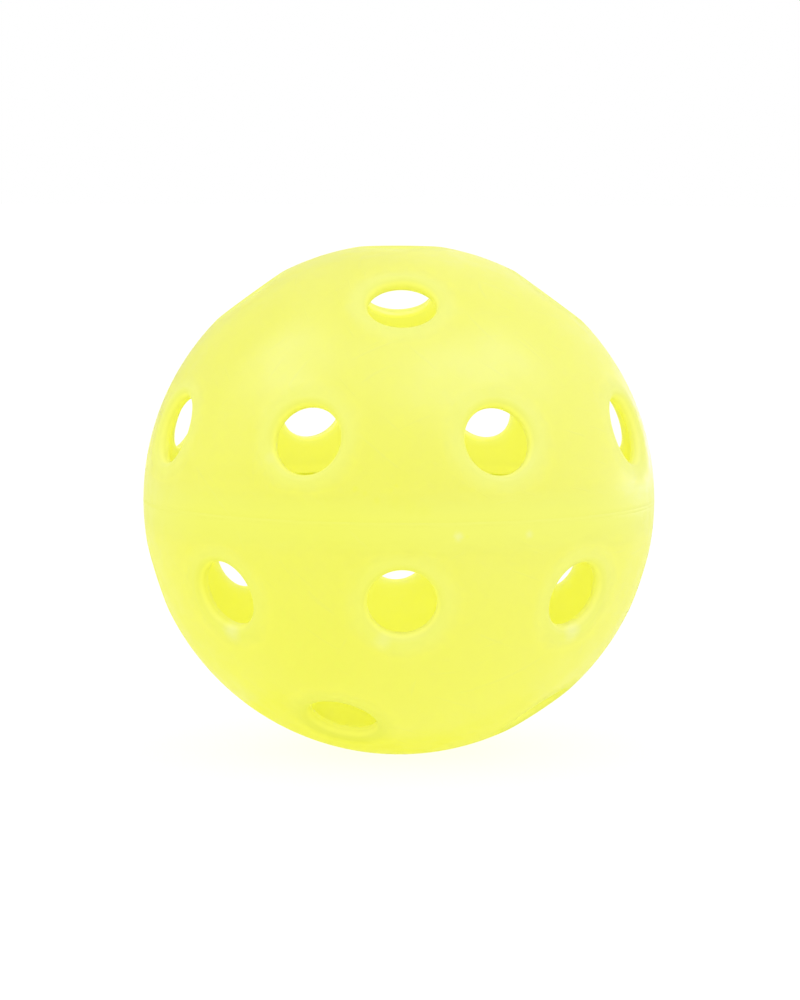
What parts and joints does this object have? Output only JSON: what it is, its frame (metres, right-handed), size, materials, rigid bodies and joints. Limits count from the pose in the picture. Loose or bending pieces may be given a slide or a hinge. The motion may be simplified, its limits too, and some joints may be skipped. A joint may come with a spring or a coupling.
{
  "type": "perforated plastic ball",
  "caption": "Hollow rigid plastic ball with round air holes all over, moulded as two half shells welded together at the equator.",
  "frame": {"origin": "centre of the ball", "axes": "+Z through the pole hole of the upper half, -Y towards the viewer of the picture, +X to the right"},
  "size_m": [0.072, 0.072, 0.071],
  "materials": {
    "shell_plastic": "satin fluorescent yellow polyethylene, slightly translucent",
    "weld_plastic": "the same plastic, melted, rolled over and trimmed"
  },
  "bodies": {
    "root": {"upper_half": "shell_plastic", "lower_half": "shell_plastic", "weld_bead": "weld_plastic"}
  },
  "joints": []
}
